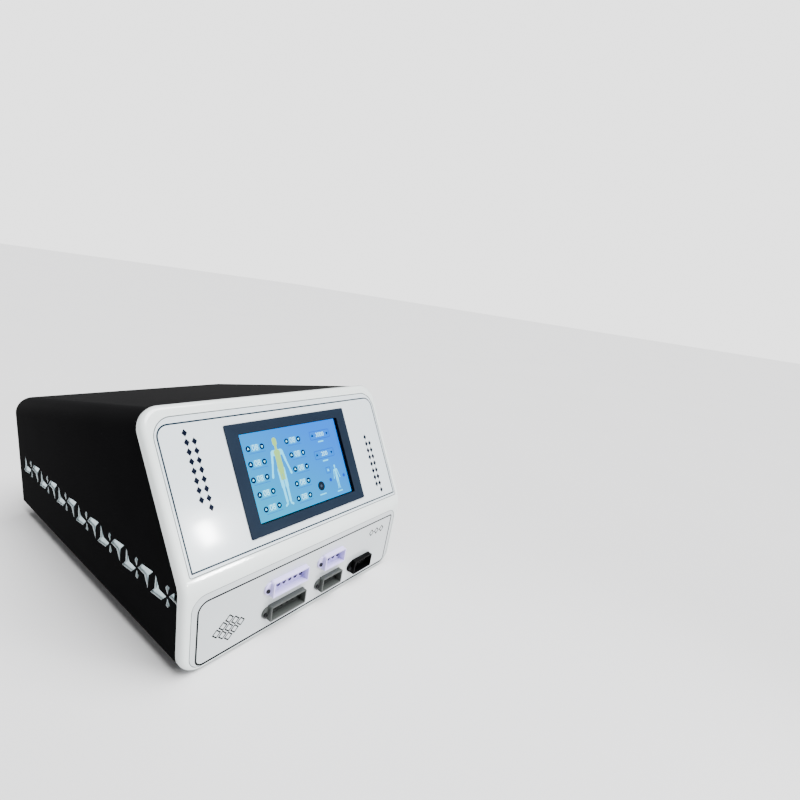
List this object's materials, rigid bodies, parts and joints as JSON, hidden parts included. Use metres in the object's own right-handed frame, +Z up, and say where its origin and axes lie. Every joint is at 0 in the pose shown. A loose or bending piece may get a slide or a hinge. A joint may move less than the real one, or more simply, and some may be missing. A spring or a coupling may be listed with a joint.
{
  "type": "compression therapy pump",
  "caption": "Table console with a sloping touch-screen fascia, shrouded air sockets below it and a black sheet cover with punched side vents and a fan at the rear.",
  "frame": {"origin": "on the table plane, under the middle of the console's bounding box", "axes": "+Z up, -Y out of the fascia towards the user, +X to the user's right"},
  "size_m": [0.4, 0.473, 0.282],
  "materials": {
    "cover_paint": "fine satin powder coat, near black",
    "tray_steel": "zinc-plated sheet",
    "screen_metal": "bare bright sheet",
    "foot_rubber": "matt black",
    "screw_steel": "bright zinc",
    "fascia_white": "gloss white moulding",
    "film_upper": "glossy pale grey-lilac film",
    "film_lower": "glossy pale grey film",
    "bezel_slate": "satin slate blue",
    "touch_glass": "clear gloss",
    "lcd": "metal-backed display panel",
    "socket_lilac": "satin lilac",
    "socket_grey": "satin grey",
    "socket_black": "satin black",
    "insert_lilac": "satin lilac",
    "insert_grey": "satin grey",
    "insert_black": "satin black",
    "seal_rubber": "soft black rubber",
    "black_plastic": "satin black",
    "switch_red": "red rocker",
    "brass": "plated brass",
    "fuse_glass": "clear tube with metal caps",
    "guard_wire": "plated wire",
    "pump_alloy": "as cast",
    "core_steel": "laminated iron",
    "coil_copper": "varnished copper wire",
    "pot_plastic": "moulded ivory",
    "disc_plastic": "filled plastic",
    "hose_vinyl": "soft translucent vinyl",
    "board_green": "solder-masked board"
  },
  "bodies": {
    "housing": {"case_cover": "cover_paint", "base_tray": "tray_steel", "rear_panel": "cover_paint", "vent_screens": "screen_metal", "rubber_feet": "foot_rubber", "foot_screws": "screw_steel", "foot_nuts": "screw_steel", "cover_screws": "screw_steel", "front_fascia": "fascia_white", "fascia_brackets": "tray_steel", "upper_film": "film_upper", "lower_film": "film_lower", "screen_bezel": "bezel_slate", "touch_glass": "touch_glass", "lcd_panel": "lcd", "display_board": "board_green", "long_socket_top": "socket_lilac", "long_socket_low": "socket_grey", "short_socket_top": "socket_lilac", "short_socket_low": "socket_grey", "last_socket": "socket_black", "long_insert_top": "insert_lilac", "long_insert_low": "insert_grey", "short_insert_top": "insert_lilac", "short_insert_low": "insert_grey", "last_insert": "insert_black", "port_seals": "seal_rubber", "socket_screws": "screw_steel", "mains_inlet": "black_plastic", "inlet_pins": "brass", "inlet_screws": "screw_steel", "switch_body": "black_plastic", "fan_frame": "black_plastic", "fan_guard": "guard_wire", "fan_screws": "screw_steel", "panel_screws": "screw_steel", "pump_mounts": "foot_rubber", "pump_base": "pump_alloy", "pump_cores": "core_steel", "pump_coils": "coil_copper", "pump_heads": "pump_alloy", "distributor_bracket": "tray_steel", "distributor_motor": "tray_steel", "distributor_body": "pot_plastic", "distributor_cap": "pot_plastic", "feed_hose": "hose_vinyl", "power_supply": "screen_metal", "terminal_block": "black_plastic", "control_board": "board_green", "board_posts": "brass"},
    "fan_wheel": {"fan_rotor": "black_plastic"},
    "rocker": {"switch_rocker": "switch_red"},
    "fuse_carrier": {"fuse_drawer": "black_plastic", "fuse": "fuse_glass"},
    "armature": {"pump_armature": "core_steel", "pump_diaphragms": "foot_rubber"},
    "distributor_wheel": {"distributor_disc": "disc_plastic"}
  },
  "joints": [
    {"name": "fan_spin", "type": "hinge", "parent": "housing", "child": "fan_wheel", "pos_m": [-0.112, 0.2165, 0.104], "axis": [0, 1, 0], "continuous": true},
    {"name": "switch_rock", "type": "hinge", "parent": "housing", "child": "rocker", "pos_m": [0.072, 0.2275, 0.066], "axis": [1, 0, 0], "range_deg": [0, 18]},
    {"name": "fuse_pull", "type": "slide", "parent": "housing", "child": "fuse_carrier", "axis": [0, 1, 0], "range_m": [0, 0.017]},
    {"name": "pump_stroke", "type": "slide", "parent": "housing", "child": "armature", "axis": [1, 0, 0], "range_m": [-0.0015, 0.0015], "stiffness_N_per_m": 20000},
    {"name": "distributor_turn", "type": "hinge", "parent": "housing", "child": "distributor_wheel", "pos_m": [0.105, -0.0235, 0.09], "axis": [0, 0, 1], "continuous": true}
  ]
}
